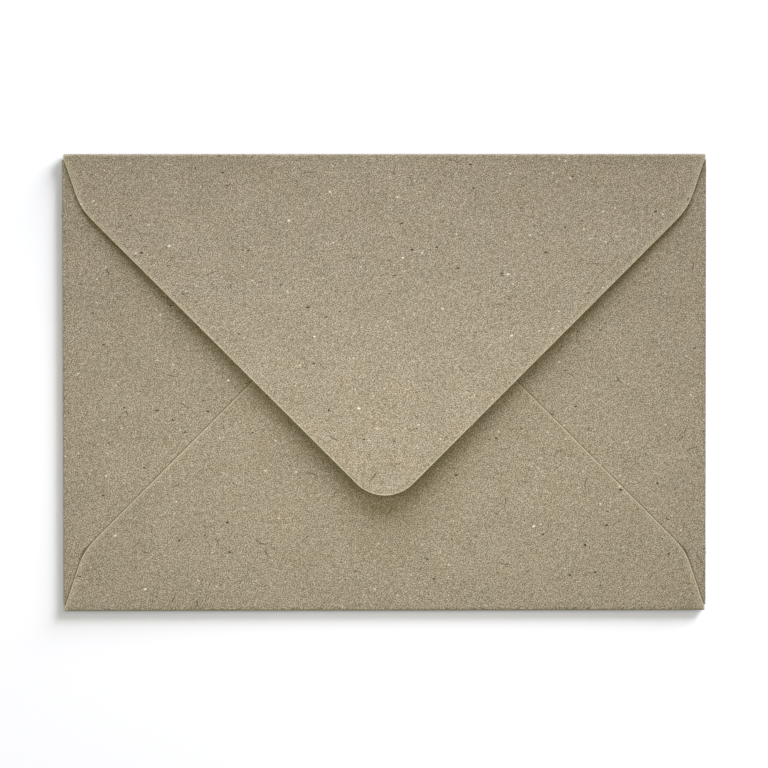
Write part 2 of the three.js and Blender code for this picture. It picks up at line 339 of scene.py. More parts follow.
# Each patch of pulp keeps a slightly warm or cool tint.
dye = noise_of(pattern, bent_place, DYE_PATCHES, detail=2).outputs["Color"]
dye_parts = put(pattern, "ShaderNodeSeparateColor", Color=dye)
coolness = math_of(pattern, "MULTIPLY_ADD", dye_parts.outputs[1], DYE_CONTRAST,
                   (1 - DYE_CONTRAST) / 2, clamp=True)
dye_tint = mixed(pattern, coolness, WARM_TINT, COOL_TINT)
colour = mixed(pattern, 1.0, tinted.outputs[0], dye_tint, "MULTIPLY")
colour = mixed(pattern, frayed_and_highlit, colour, CUT_COLOUR)
# The dark line beside a glued flap's edge is partly painted shadow and partly glue-soaked fibres.
seam_near = put(pattern, "ShaderNodeAttribute", attribute_name="seam").outputs["Fac"]
seam_line = put(pattern, "ShaderNodeMapRange", Value=seam_near, From_Min=1 - SEAM_WIDTH / SEAM_REACH,
                From_Max=1.0, interpolation_type="SMOOTHSTEP")
soaked_and_shadowed = math_of(pattern, "MULTIPLY", seam_line.outputs["Result"],
                 math_of(pattern, "ADD", pulp, SEAM_SOAK_AND_SHADOW), clamp=True)
colour = mixed(pattern, soaked_and_shadowed, colour, SEAM_COLOUR)

# Each kind's colour, strength, cells to the metre, radius, share of the cells, turn and stretch.
flecks = (
    (PALE_FLECK, 0.6, 300, 0.00026, 0.15, 0.4, 1.3),
    (PALE_FLECK, 0.95, 130, 0.00034, 0.09, 1.9, 1.6),
    (BROWN_FLECK, 0.7, 300, 0.0003, 0.18, 1.2, 1.8),
    (DARK_FLECK, 0.95, 150, 0.00033, 0.11, 0.2, 1.6),
    (DARK_FLECK, 0.95, 135, 0.00037, 0.1, 2.3, 2.4),
)
for fleck_colour, strength, cells, radius, share, turn, stretch in flecks:
    mask = fleck_mask(pattern, bent_place, cells, radius, share, turn, stretch)
    colour = mixed(pattern, math_of(pattern, "MULTIPLY", mask, strength), colour, fleck_colour)

pattern.links.new(colour, pattern_out.inputs["Colour"])
height = math_of(pattern, "ADD", math_of(pattern, "MULTIPLY", fine, FINE_RELIEF),
                 math_of(pattern, "MULTIPLY", pulp, PULP_RELIEF))
pattern.links.new(height, pattern_out.inputs["Height"])
rough = math_of(pattern, "MULTIPLY_ADD", pulp, PAPER_ROUGHER, PAPER_SMOOTHEST)
pattern.links.new(rough, pattern_out.inputs["Roughness"])


def paper_material(name, ground, grain, relief):
    """Matt flecked paper. Relief is the height in metres of the fibres on its surface."""
    material = bpy.data.materials.new(name)
    material.use_nodes = True
    tree = material.node_tree
    shader = tree.nodes["Principled BSDF"]
    marks = tree.nodes.new("ShaderNodeGroup")
    marks.node_tree = pattern
    marks.inputs["Ground"].default_value = ground
    marks.inputs["Grain"].default_value = grain
    bump = put(tree, "ShaderNodeBump", Height=marks.outputs["Height"], Distance=relief)
    tree.links.new(marks.outputs["Colour"], shader.inputs["Base Color"])
    tree.links.new(marks.outputs["Roughness"], shader.inputs["Roughness"])
    tree.links.new(bump.outputs[0], shader.inputs["Normal"])
    shader.inputs["Specular IOR Level"].default_value = PAPER_SHEEN
    return material


recycled_paper = paper_material("recycled_paper", PAPER_COLOUR, grain=1.0, relief=0.00004)
cut_paper = paper_material("cut_paper_edge", CUT_COLOUR, grain=0.5, relief=0.00002)


def finished_film(name, source, thickness, materials):
    """Gives a surface its thickness below its outer face, and makes it a plain closed mesh. The
    last of its materials goes on the rim."""
    wall = source.modifiers.new("thickness", "SOLIDIFY")
    wall.thickness = thickness
    wall.offset = -1
    wall.use_even_offset = False
    wall.material_offset_rim = len(materials) - 1
    graph = bpy.context.evaluated_depsgraph_get()
    mesh = bpy.data.meshes.new_from_object(source.evaluated_get(graph))
    mesh.name = name
    mesh.materials.clear()
    for material in materials:
        mesh.materials.append(material)
    mesh.shade_smooth()
    mesh.set_sharp_from_angle(angle=SHARP_ANGLE)
    bpy.data.objects.remove(source)
    film = bpy.data.objects.new(name, mesh)
    bpy.context.collection.objects.link(film)
    return film


def run_tree(target, tree, values):
    """Adds a geometry tree to an object with its named inputs set."""
    shaping = target.modifiers.new(tree.name, "NODES")
    shaping.node_group = tree
    for item in tree.interface.items_tree:
        if item.in_out == "INPUT" and item.name in values:
            shaping[item.identifier] = values[item.name]


fibre_tree = bpy.data.node_groups.new("fibres_in_paper", "GeometryNodeTree")
group_socket(fibre_tree, "Geometry", "NodeSocketGeometry")
for input_name in ("Density", "Length", "Width", "Bend"):
    group_socket(fibre_tree, input_name, "NodeSocketFloat")
group_socket(fibre_tree, "Seed", "NodeSocketInt")
group_socket(fibre_tree, "Fibre", "NodeSocketMaterial")
group_socket(fibre_tree, "Geometry", "NodeSocketGeometry", "OUTPUT")
strand_given = fibre_tree.nodes.new("NodeGroupInput").outputs
fibre_out = fibre_tree.nodes.new("NodeGroupOutput")
half_length = math_of(fibre_tree, "MULTIPLY", strand_given["Length"], 0.5)
from_end = put(fibre_tree, "ShaderNodeCombineXYZ", X=math_of(fibre_tree, "MULTIPLY", half_length, -1.0))
by_middle = put(fibre_tree, "ShaderNodeCombineXYZ", Y=strand_given["Bend"])
to_end = put(fibre_tree, "ShaderNodeCombineXYZ", X=half_length)
strand = put(fibre_tree, "GeometryNodeCurveQuadraticBezier", Resolution=FIBRE_STEPS,
             Start=from_end.outputs[0], Middle=by_middle.outputs[0], End=to_end.outputs[0])
section = put(fibre_tree, "GeometryNodeCurvePrimitiveCircle", Resolution=FIBRE_SIDES,
              Radius=math_of(fibre_tree, "MULTIPLY", strand_given["Width"], 0.5))
round_strand = put(fibre_tree, "GeometryNodeCurveToMesh", Curve=strand.outputs[0],
                   Profile_Curve=section.outputs[0], Fill_Caps=True)
flat_strand = put(fibre_tree, "GeometryNodeTransform", Geometry=round_strand.outputs[0],
                  Scale=(1, 1, FIBRE_FLATNESS))
fibre_spots = put(fibre_tree, "GeometryNodeDistributePointsOnFaces", Mesh=strand_given["Geometry"],
                  Density=strand_given["Density"], Seed=strand_given["Seed"])
fibre_sizes = put(fibre_tree, "FunctionNodeRandomValue", data_type="FLOAT_VECTOR",
                  Min=FIBRE_SMALLEST, Max=FIBRE_LARGEST, Seed=strand_given["Seed"])
fibre_turns = put(fibre_tree, "FunctionNodeRandomValue", data_type="FLOAT_VECTOR",
                  Min=(0, 0, 0), Max=(0, 0, math.tau), Seed=strand_given["Seed"])
scattered = put(fibre_tree, "GeometryNodeInstanceOnPoints", Points=fibre_spots.outputs["Points"],
                Instance=flat_strand.outputs[0], Rotation=fibre_spots.outputs["Rotation"],
                Scale=fibre_sizes.outputs[0])
spun = put(fibre_tree, "GeometryNodeRotateInstances", Instances=scattered.outputs[0],
           Rotation=fibre_turns.outputs[0])
loose = put(fibre_tree, "GeometryNodeRealizeInstances", Geometry=spun.outputs[0])
strand_spot = put(fibre_tree, "GeometryNodeInputPosition").outputs[0]
curl = noise_of(fibre_tree, strand_spot, FIBRE_CURLS, detail=1)
curl_way = put(fibre_tree, "ShaderNodeVectorMath", operation="MULTIPLY_ADD")
fibre_tree.links.new(curl.outputs["Color"], curl_way.inputs[0])
curl_way.inputs[1].default_value = (FIBRE_CURL, FIBRE_CURL, 0)
curl_way.inputs[2].default_value = (-FIBRE_CURL / 2, -FIBRE_CURL / 2, 0)
curled = put(fibre_tree, "GeometryNodeSetPosition", Geometry=loose.outputs[0], Offset=curl_way.outputs[0])
smoothed = put(fibre_tree, "GeometryNodeSetShadeSmooth", Geometry=curled.outputs[0])
dyed = put(fibre_tree, "GeometryNodeSetMaterial", Geometry=smoothed.outputs[0],
           Material=strand_given["Fibre"])
with_strands = fibre_tree.nodes.new("GeometryNodeJoinGeometry")
fibre_tree.links.new(dyed.outputs[0], with_strands.inputs[0])
fibre_tree.links.new(strand_given["Geometry"], with_strands.inputs[0])
fibre_tree.links.new(with_strands.outputs[0], fibre_out.inputs[0])


def fibre_material(name, colour, roughness):
    """One kind of waste fibre, darker and paler along its length."""
    material = bpy.data.materials.new(name)
    material.use_nodes = True
    tree = material.node_tree
    shader = tree.nodes["Principled BSDF"]
    place = put(tree, "ShaderNodeTexCoord").outputs["Object"]
    patches = noise_of(tree, place, FIBRE_PATCHES, detail=2).outputs["Fac"]
    dark = tuple(FIBRE_DARKEST * c for c in colour[:3]) + (1,)
    tree.links.new(mixed(tree, patches, dark, colour), shader.inputs["Base Color"])
    shader.inputs["Roughness"].default_value = roughness
    return material


dark_hair = fibre_material("dark_hair", HAIR_COLOUR, roughness=0.6)
pale_straw = fibre_material("pale_straw", STRAW_COLOUR, roughness=0.5)
fibre_kinds = (
    {"Density": 5000.0, "Length": 0.0017, "Width": 0.00019, "Bend": 0.0004, "Fibre": dark_hair},
    {"Density": 5000.0, "Length": 0.0009, "Width": 0.00028, "Bend": 0.0001, "Fibre": pale_straw},
)


def finished_sheet(name, source, seed):
    """A sheet of the recycled paper, with its cut edges and the fibres that show in its faces."""
    sheet = finished_film(name, source, PAPER_THICKNESS, (recycled_paper, cut_paper))
    for kind, values in enumerate(fibre_kinds):
        run_tree(sheet, fibre_tree, {**values, "Seed": seed + kind})
    graph = bpy.context.evaluated_depsgraph_get()
    plain_mesh, sheet_mesh = sheet.data, bpy.data.meshes.new_from_object(sheet.evaluated_get(graph))
    sheet.modifiers.clear()
    sheet.data = sheet_mesh
    bpy.data.meshes.remove(plain_mesh)
    sheet_mesh.name = name
    return sheet


def smooth_waves(x, y, seed):
    """Gentle unevenness between -1 and 1 over a sheet, about two waves to its width."""
    draw = np.random.default_rng(seed)
    total = np.zeros_like(x)
    for wave in range(PANEL_WAVES):
        turn = draw.uniform(0, math.tau)
        length = draw.uniform(*PANEL_WAVE_LENGTHS)
        run = x * math.cos(turn) + y * math.sin(turn)
        total += np.sin(run * math.tau / length + draw.uniform(0, math.tau)) / PANEL_WAVES
    return total


left_edge, right_edge = -ENVELOPE_WIDTH / 2 + SIDE_ROLL, ENVELOPE_WIDTH / 2 - SIDE_ROLL
low_edge, high_edge = -ENVELOPE_HEIGHT / 2 + BOTTOM_ROLL, ENVELOPE_HEIGHT / 2 - CLOSURE_ROLL
xs = np.linspace(left_edge, right_edge, PANEL_COLUMNS + 1)
ys = np.linspace(low_edge, high_edge, PANEL_ROWS + 1)
grid_x, grid_y = (g.ravel() for g in np.meshgrid(xs, ys))
to_edge = np.minimum.reduce([
    grid_x - left_edge, right_edge - grid_x, grid_y - low_edge, high_edge - grid_y,
])
settled = np.clip(to_edge / PANEL_MARGIN, 0, 1)
settled = settled * settled * (3 - 2 * settled)
grid_z = PANEL_COCKLE * settled * (0.5 + 0.5 * smooth_waves(grid_x, grid_y, PANEL_WAVE_SEED))
panel_points = np.stack([grid_x, grid_y, grid_z], 1)
stride = PANEL_COLUMNS + 1
panel_faces = [
    (row * stride + column, (row + 1) * stride + column,
     (row + 1) * stride + column + 1, row * stride + column + 1)
    for row in range(PANEL_ROWS) for column in range(PANEL_COLUMNS)
]
panel_mesh = bpy.data.meshes.new("front_panel_plan")
panel_mesh.from_pydata(panel_points.tolist(), [], panel_faces)
place = panel_mesh.attributes.new("sheet", "FLOAT_VECTOR", "POINT")
place.data.foreach_set("vector", np.stack([grid_x, grid_y, 0 * grid_x], 1).ravel())
panel_plan = bpy.data.objects.new("front_panel_plan", panel_mesh)
bpy.context.collection.objects.link(panel_plan)
address_sheet = finished_sheet("address_sheet", panel_plan, PANEL_FIBRE_SEED)
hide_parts("front_panel")
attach(address_sheet, "pocket")


# Side flaps. Two V-shaped flaps with round tips, part of the same sheet. Each is creased along
# a short edge of the envelope, turned in over the pocket and pressed into a soft roll.
CORNER_CLEARANCE = 0.0003
SIDE_FLAP = {
    "edge": ENVELOPE_WIDTH / 2, "edge half": ENVELOPE_HEIGHT / 2,
    "root half": ENVELOPE_HEIGHT / 2 - CLOSURE_ROLL - CORNER_CLEARANCE,
    "depth": 0.063, "shoulder depth": 0.0141, "shoulder inset": 0.0048, "tip radius": 0.01,
    "roll": SIDE_ROLL, "roll power": 0.5, "lift": 0, "sag": 0,
}
# The bottom flap is glued over the side flaps, and its outline says where the seams run.
BOTTOM_FLAP = {
    "edge": ENVELOPE_HEIGHT / 2, "edge half": ENVELOPE_WIDTH / 2,
    "root half": ENVELOPE_WIDTH / 2 - CORNER_CLEARANCE,
    "depth": 0.087, "shoulder depth": 0.0152, "shoulder inset": 0.0052, "tip radius": 0.01,
    "roll": BOTTOM_ROLL, "roll power": 0.42, "lift": 0, "sag": 0,
}
FLAP_COLUMNS = 110
FLAP_ROWS = 150
ROLL_SHARE = 0.1
SHOULDER_SOFTNESS = 0.003
SLANT_SHARE = 0.75
CUT_BAND = 0.0003
CUT_BAND_STEPS = 2
CUT_BAND_INNER = 0.6
CUT_BURR = 0.00004
MERGE_DISTANCE = 2e-6
FREE_MARGIN = 0.004
CREASE_BAND = 0.0012
SIDE_COCKLE = 0.00006
WAVES_ACROSS, WAVES_DOWN = 75.0, 95.0
WAVES_START = 0.02
SAG_RUN = 0.016
SAG_NEAR, SAG_FAR = 0.01, 0.035

waves_tree = bpy.data.node_groups.new("paper_waves", "GeometryNodeTree")
for input_name in ("Across", "Run", "Height", "Seed", "Sag"):
    group_socket(waves_tree, input_name, "NodeSocketFloat")
group_socket(waves_tree, "Rise", "NodeSocketFloat", "OUTPUT")
wave_given = waves_tree.nodes.new("NodeGroupInput").outputs
wave_out = waves_tree.nodes.new("NodeGroupOutput")
phase_x = math_of(waves_tree, "MULTIPLY_ADD", wave_given["Across"], WAVES_ACROSS, wave_given["Seed"])
phase_y = math_of(waves_tree, "MULTIPLY_ADD", wave_given["Run"], WAVES_DOWN, wave_given["Seed"])
wave_x = math_of(waves_tree, "SINE", phase_x)
wave_y = math_of(waves_tree, "SINE", phase_y)
waves = math_of(waves_tree, "MULTIPLY_ADD", math_of(waves_tree, "MULTIPLY", wave_x, wave_y), 0.5, 0.5)
leaving = put(waves_tree, "ShaderNodeMapRange", Value=wave_given["Run"], From_Max=WAVES_START,
              interpolation_type="SMOOTHSTEP").outputs["Result"]
full_rise = math_of(waves_tree, "MULTIPLY", waves, wave_given["Height"])
# The droop is deepest SAG_RUN below the crease and fades towards the flap's middle.
sag_run = math_of(waves_tree, "DIVIDE", wave_given["Run"], SAG_RUN)
sag_bell = math_of(waves_tree, "MULTIPLY", sag_run,
                   math_of(waves_tree, "EXPONENT", math_of(waves_tree, "SUBTRACT", 1.0, sag_run)))
to_middle = math_of(waves_tree, "ABSOLUTE", wave_given["Across"])
sag_side = put(waves_tree, "ShaderNodeMapRange", Value=to_middle, From_Min=SAG_NEAR, From_Max=SAG_FAR,
               interpolation_type="SMOOTHSTEP").outputs["Result"]
sag_share = math_of(waves_tree, "MULTIPLY", sag_bell, sag_side)
sag = math_of(waves_tree, "MULTIPLY", wave_given["Sag"], sag_share)
rise_out = math_of(waves_tree, "SUBTRACT", math_of(waves_tree, "MULTIPLY", full_rise, leaving), sag)
waves_tree.links.new(rise_out, wave_out.inputs[0])


def rise_of(tree, across, run, inputs):
    """How far waves in the paper, and its droop near the crease, move a point off the flat face."""
    node = tree.nodes.new("GeometryNodeGroup")
    node.node_tree = waves_tree
    for name, value in (("Across", across), ("Run", run), ("Height", inputs["Cockle"]),
                        ("Seed", inputs["Cockle Seed"]), ("Sag", inputs["Sag"])):
        feed(tree, node.inputs[name], value)
    return node.outputs["Rise"]


flap_tree = bpy.data.node_groups.new("folded_flap", "GeometryNodeTree")
group_socket(flap_tree, "Geometry", "NodeSocketGeometry")
flap_inputs = (
    "Edge", "Root Half", "Roll", "Sweep", "Lift", "Depth", "Steep Start", "Steep Slope",
    "Slant Start", "Slant Slope", "Round From", "Tip Centre", "Tip Radius", "Turn",
    "Cockle", "Cockle Seed", "Sag", "Edge Lift", "Roll Power",
)
for input_name in flap_inputs:
    group_socket(flap_tree, input_name, "NodeSocketFloat")
group_socket(flap_tree, "Paper", "NodeSocketMaterial")
group_socket(flap_tree, "Geometry", "NodeSocketGeometry", "OUTPUT")
given = flap_tree.nodes.new("NodeGroupInput").outputs
flap_out = flap_tree.nodes.new("NodeGroupOutput")

plan = put(flap_tree, "GeometryNodeMeshGrid", Size_X=2.0, Size_Y=1.0,
           Vertices_X=FLAP_COLUMNS + 1, Vertices_Y=FLAP_ROWS + 1)
grid_spot = put(flap_tree, "GeometryNodeInputPosition").outputs[0]
spot = put(flap_tree, "ShaderNodeSeparateXYZ", Vector=grid_spot)
across, down = spot.outputs[0], math_of(flap_tree, "SUBTRACT", 0.5, spot.outputs[1])

# The first rows of the grid go round the roll. The others run down the flap, closer near its tip.
rolled = math_of(flap_tree, "DIVIDE", down, ROLL_SHARE, clamp=True)
angle = math_of(flap_tree, "MULTIPLY_ADD", rolled, given["Sweep"], -math.pi / 2)
beyond = math_of(flap_tree, "DIVIDE", math_of(flap_tree, "SUBTRACT", down, ROLL_SHARE),
                 1 - ROLL_SHARE, clamp=True)
eased = math_of(flap_tree, "SINE", math_of(flap_tree, "MULTIPLY", beyond, math.pi / 2))
reach = math_of(flap_tree, "SUBTRACT", given["Depth"], given["Roll"])
run = math_of(flap_tree, "MULTIPLY", eased, reach)
depth = math_of(flap_tree, "ADD", run, given["Roll"])

# Half the width at each depth: a steep shoulder, a slanted edge and the round tip.
steep = math_of(flap_tree, "SUBTRACT", given["Steep Start"],
                math_of(flap_tree, "MULTIPLY", depth, given["Steep Slope"]))
steep = math_of(flap_tree, "MINIMUM", steep, given["Root Half"])
slant = math_of(flap_tree, "SUBTRACT", given["Slant Start"],
                math_of(flap_tree, "MULTIPLY", depth, given["Slant Slope"]))
sides = math_of(flap_tree, "SMOOTH_MIN", steep, slant, SHOULDER_SOFTNESS)
below = math_of(flap_tree, "SUBTRACT", depth, given["Tip Centre"])
radius_squared = math_of(flap_tree, "MULTIPLY", given["Tip Radius"], given["Tip Radius"])
left_over = math_of(flap_tree, "SUBTRACT", radius_squared, math_of(flap_tree, "MULTIPLY", below, below))
tip = math_of(flap_tree, "SQRT", math_of(flap_tree, "MAXIMUM", left_over, 0.0))
in_tip = math_of(flap_tree, "GREATER_THAN", depth, given["Round From"])
half = put(flap_tree, "ShaderNodeMix", data_type="FLOAT")
flap_tree.links.new(in_tip, half.inputs[0])
flap_tree.links.new(sides, half.inputs[2])
flap_tree.links.new(tip, half.inputs[3])
width = half.outputs[0]

# The last steps of the grid to each side make the narrow band of the cut edge.
half_steps = FLAP_COLUMNS / 2
inner_steps = half_steps - CUT_BAND_STEPS
steps = math_of(flap_tree, "MULTIPLY", math_of(flap_tree, "ABSOLUTE", across), half_steps)
inner = math_of(flap_tree, "DIVIDE", steps, inner_steps, clamp=True)
near_edge = math_of(flap_tree, "SUBTRACT", steps, inner_steps, clamp=True)
at_edge = math_of(flap_tree, "SUBTRACT", steps, half_steps - 1, clamp=True)
band = math_of(flap_tree, "MINIMUM", CUT_BAND, math_of(flap_tree, "MULTIPLY", width, 0.5))
in_band = math_of(flap_tree, "ADD", math_of(flap_tree, "MULTIPLY", near_edge, CUT_BAND_INNER),
                  math_of(flap_tree, "MULTIPLY", at_edge, 1 - CUT_BAND_INNER))
from_middle = math_of(flap_tree, "ADD",
                      math_of(flap_tree, "MULTIPLY", inner, math_of(flap_tree, "SUBTRACT", width, band)),
                      math_of(flap_tree, "MULTIPLY", band, in_band))
flat_x = math_of(flap_tree, "MULTIPLY", from_middle, math_of(flap_tree, "SIGN", across))

# About how far each point lies from the cut edge, which stands up a little and is paler, partly as a
# painted highlight.
to_side = math_of(flap_tree, "SUBTRACT", width, from_middle)
slanted_away = math_of(flap_tree, "MULTIPLY", to_side, SLANT_SHARE)
squares = math_of(flap_tree, "ADD", math_of(flap_tree, "MULTIPLY", from_middle, from_middle),
                  math_of(flap_tree, "MULTIPLY", below, below))
round_away = math_of(flap_tree, "SUBTRACT", given["Tip Radius"], math_of(flap_tree, "SQRT", squares))
away = put(flap_tree, "ShaderNodeMix", data_type="FLOAT")
flap_tree.links.new(in_tip, away.inputs[0])
flap_tree.links.new(slanted_away, away.inputs[2])
flap_tree.links.new(round_away, away.inputs[3])
cut_away = away.outputs[0]
cut_mark = put(flap_tree, "ShaderNodeMapRange", Value=cut_away, From_Max=CUT_BAND, To_Min=1.0, To_Max=0.0)
free = put(flap_tree, "ShaderNodeMapRange", Value=cut_away, From_Max=FREE_MARGIN, To_Min=1.0, To_Max=0.0)
free_rise = math_of(flap_tree, "MULTIPLY", given["Edge Lift"],
                    math_of(flap_tree, "POWER", free.outputs["Result"], 2.0))
# The crease band, which the paper pattern darkens as painted shade.
crease_mark = put(flap_tree, "ShaderNodeMapRange", Value=run, From_Max=CREASE_BAND, To_Min=1.0, To_Max=0.0)

# The same point on the flat blank, where the paper's pattern is laid out.
flat_run = math_of(flap_tree, "ADD", run, math_of(flap_tree, "MULTIPLY", given["Roll"],
                   math_of(flap_tree, "MULTIPLY", rolled, given["Sweep"])))
flat_y = math_of(flap_tree, "ADD", flat_run, math_of(flap_tree, "SUBTRACT", given["Edge"], given["Roll"]))
flat_spot = put(flap_tree, "ShaderNodeCombineXYZ", X=flat_x, Y=flat_y)
turned_spot = put(flap_tree, "ShaderNodeVectorRotate", Vector=flat_spot.outputs[0], Angle=given["Turn"])


def marked_with(tree, geometry, name, kind, value):
    node = put(tree, "GeometryNodeStoreNamedAttribute", Geometry=geometry, data_type=kind, domain="POINT")
    node.inputs["Name"].default_value = name
    tree.links.new(value, node.inputs["Value"])
    return node.outputs[0]


marked = marked_with(flap_tree, plan.outputs["Mesh"], "sheet", "FLOAT_VECTOR", turned_spot.outputs[0])
marked = marked_with(flap_tree, marked, "cut", "FLOAT", cut_mark.outputs["Result"])
marked = marked_with(flap_tree, marked, "crease", "FLOAT", crease_mark.outputs["Result"])

rise = rise_of(flap_tree, flat_x, run, given)
rise = math_of(flap_tree, "ADD", rise, math_of(flap_tree, "MULTIPLY", free_rise,
               put(flap_tree, "ShaderNodeMapRange", Value=run, From_Max=WAVES_START).outputs["Result"]))
rise = math_of(flap_tree, "SUBTRACT", rise, math_of(flap_tree, "MULTIPLY", at_edge, CUT_BURR))


def pressed(tree, value, power):
    """A sine or cosine raised to a power, with its sign kept, which makes a round roll squarer."""
    size = math_of(tree, "POWER", math_of(tree, "ABSOLUTE", value), power)
    return math_of(tree, "MULTIPLY", size, math_of(tree, "SIGN", value))


# The point's place: round the roll, down the flap at its lift, and off its face by the rise.
roll_cosine = pressed(flap_tree, math_of(flap_tree, "COSINE", angle), given["Roll Power"])
roll_sine = pressed(flap_tree, math_of(flap_tree, "SINE", angle), given["Roll Power"])
bulge_y = math_of(flap_tree, "MULTIPLY", given["Roll"], roll_cosine)
bulge_z = math_of(flap_tree, "MULTIPLY", given["Roll"], roll_sine)
gone_y = math_of(flap_tree, "MULTIPLY", run, math_of(flap_tree, "COSINE", given["Lift"]))
gone_z = math_of(flap_tree, "MULTIPLY", run, math_of(flap_tree, "SINE", given["Lift"]))
rise_y = math_of(flap_tree, "MULTIPLY", rise, math_of(flap_tree, "SINE", given["Lift"]))
rise_z = math_of(flap_tree, "MULTIPLY", rise, math_of(flap_tree, "COSINE", given["Lift"]))
axis_y = math_of(flap_tree, "SUBTRACT", given["Edge"], given["Roll"])
real_y = math_of(flap_tree, "SUBTRACT", math_of(flap_tree, "ADD", axis_y, bulge_y),
                 math_of(flap_tree, "SUBTRACT", gone_y, rise_y))
real_z = math_of(flap_tree, "ADD", math_of(flap_tree, "ADD", given["Roll"], bulge_z),
                 math_of(flap_tree, "ADD", gone_z, rise_z))
real_spot = put(flap_tree, "ShaderNodeCombineXYZ", X=flat_x, Y=real_y, Z=real_z)
shaped = put(flap_tree, "GeometryNodeSetPosition", Geometry=marked, Position=real_spot.outputs[0])
closed = put(flap_tree, "GeometryNodeMergeByDistance", Geometry=shaped.outputs[0],
             Distance=MERGE_DISTANCE)
turned = put(flap_tree, "GeometryNodeTransform", Geometry=closed.outputs[0])
turn_vector = put(flap_tree, "ShaderNodeCombineXYZ", Z=given["Turn"])
flap_tree.links.new(turn_vector.outputs[0], turned.inputs["Rotation"])
plain = put(flap_tree, "GeometryNodeRealizeInstances", Geometry=turned.outputs[0])
papered = put(flap_tree, "GeometryNodeSetMaterial", Geometry=plain.outputs[0], Material=given["Paper"])
flap_tree.links.new(papered.outputs[0], flap_out.inputs[0])


def outline_values(sizes):
    """The straight lines and the tip circle that a flap's outline is made of."""
    shoulder = (sizes["edge half"] - sizes["shoulder inset"], sizes["shoulder depth"])
    radius, centre = sizes["tip radius"], sizes["depth"] - sizes["tip radius"]
    away = math.hypot(shoulder[0], centre - shoulder[1])
    lean = math.atan2(shoulder[0], centre - shoulder[1]) - math.asin(radius / away)
    slope = math.tan(lean)
    steep_slope = (sizes["root half"] - shoulder[0]) / (shoulder[1] - sizes["roll"])
    return {
        "Steep Slope": steep_slope,
        "Steep Start": shoulder[0] + steep_slope * shoulder[1],
        "Slant Slope": slope,
        "Slant Start": shoulder[0] + slope * shoulder[1],
        "Round From": centre + radius * math.sin(lean),
        "Tip Centre": centre,
        "Tip Radius": radius,
    }


def folded_flap(name, sizes, turn, cockle, seed, edge_lift):
    """Runs the folded flap tree with one flap's sizes."""
    values = outline_values(sizes)
    values.update({
        "Edge": sizes["edge"], "Root Half": sizes["root half"], "Roll": sizes["roll"],
        "Sweep": math.pi - sizes["lift"], "Lift": sizes["lift"], "Depth": sizes["depth"],
        "Turn": turn, "Cockle": cockle, "Cockle Seed": seed, "Sag": sizes["sag"], "Edge Lift": edge_lift,
        "Paper": recycled_paper, "Roll Power": sizes["roll power"],
    })
    source = bpy.data.objects.new(name + "_plan", bpy.data.meshes.new(name + "_plan"))
    bpy.context.collection.objects.link(source)
    run_tree(source, flap_tree, values)
    return finished_sheet(name, source, int(seed))


def mark_seam(sheet, values, edge):
    """Stores how near each point of a sheet lies to the outline of the flap glued over it."""
    spots = np.empty(len(sheet.data.vertices) * 3)
    sheet.data.vertices.foreach_get("co", spots)
    x, y = spots.reshape(-1, 3).T[:2]
    depth = y + edge
    steep = values["Steep Start"] - depth * values["Steep Slope"]
    slant = values["Slant Start"] - depth * values["Slant Slope"]
    lean = math.atan(values["Slant Slope"])
    outside = (np.abs(x) - np.minimum(steep, slant)) * math.cos(lean)
    nearness = np.clip(1 - outside / SEAM_REACH, 0, 2)
    sheet.data.attributes.new("seam", "FLOAT", "POINT").data.foreach_set("value", nearness)


for side, turn, seed in (("left", math.pi / 2, 1.0), ("right", -math.pi / 2, 5.0)):
    side_sheet = folded_flap(side + "_side_sheet", SIDE_FLAP, turn, cockle=-SIDE_COCKLE, seed=seed,
                             edge_lift=0.0)
    # The seam nearness places the painted shadow line beside the bottom flap's edge.
    mark_seam(side_sheet, outline_values(BOTTOM_FLAP), BOTTOM_FLAP["edge"])
    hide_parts(side + "_side_flap", side + "_side_fold")
    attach(side_sheet, "pocket")


# Bottom flap. The last flap to be folded up, glued over both side flaps along its two slanted
# edges. Its cut edge, with a painted highlight on it and a painted shadow beside it, makes the two
# fine diagonal lines on the back.
BOTTOM_COCKLE = 0.00008
BOTTOM_SEED = 9.0
SEAM_EDGE_LIFT = 0.00015
bottom_sheet = folded_flap("bottom_sheet", BOTTOM_FLAP, turn=math.pi, cockle=BOTTOM_COCKLE,
                           seed=BOTTOM_SEED, edge_lift=SEAM_EDGE_LIFT)
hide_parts("bottom_flap", "bottom_fold")
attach(bottom_sheet, "pocket")


# Seam glue. Two films of dried white glue that hold the bottom flap to the side flaps. Their
# edges show only through the gap along the seams.
GLUE_COLOUR = (0.6, 0.56, 0.45, 1)
GLUE_SHADE = (0.42, 0.38, 0.28, 1)
GLUE_PATCHES = 350
GLUE_SMOOTHEST, GLUE_ROUGHER = 0.25, 0.3
dried_glue = bpy.data.materials.new("dried_glue")
dried_glue.use_nodes = True
glue_tree = dried_glue.node_tree
glue_shader = glue_tree.nodes["Principled BSDF"]
glue_place = put(glue_tree, "ShaderNodeTexCoord").outputs["Object"]
glue_patches = noise_of(glue_tree, glue_place, GLUE_PATCHES, detail=3).outputs["Fac"]
glue_colour = mixed(glue_tree, glue_patches, GLUE_SHADE, GLUE_COLOUR)
glue_tree.links.new(glue_colour, glue_shader.inputs["Base Color"])
glue_rough = math_of(glue_tree, "MULTIPLY_ADD", glue_patches, GLUE_ROUGHER, GLUE_SMOOTHEST)
glue_tree.links.new(glue_rough, glue_shader.inputs["Roughness"])
for side in ("left", "right"):
    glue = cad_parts[side + "_seam_glue"]
    glue.data.materials.clear()
    glue.data.materials.append(dried_glue)
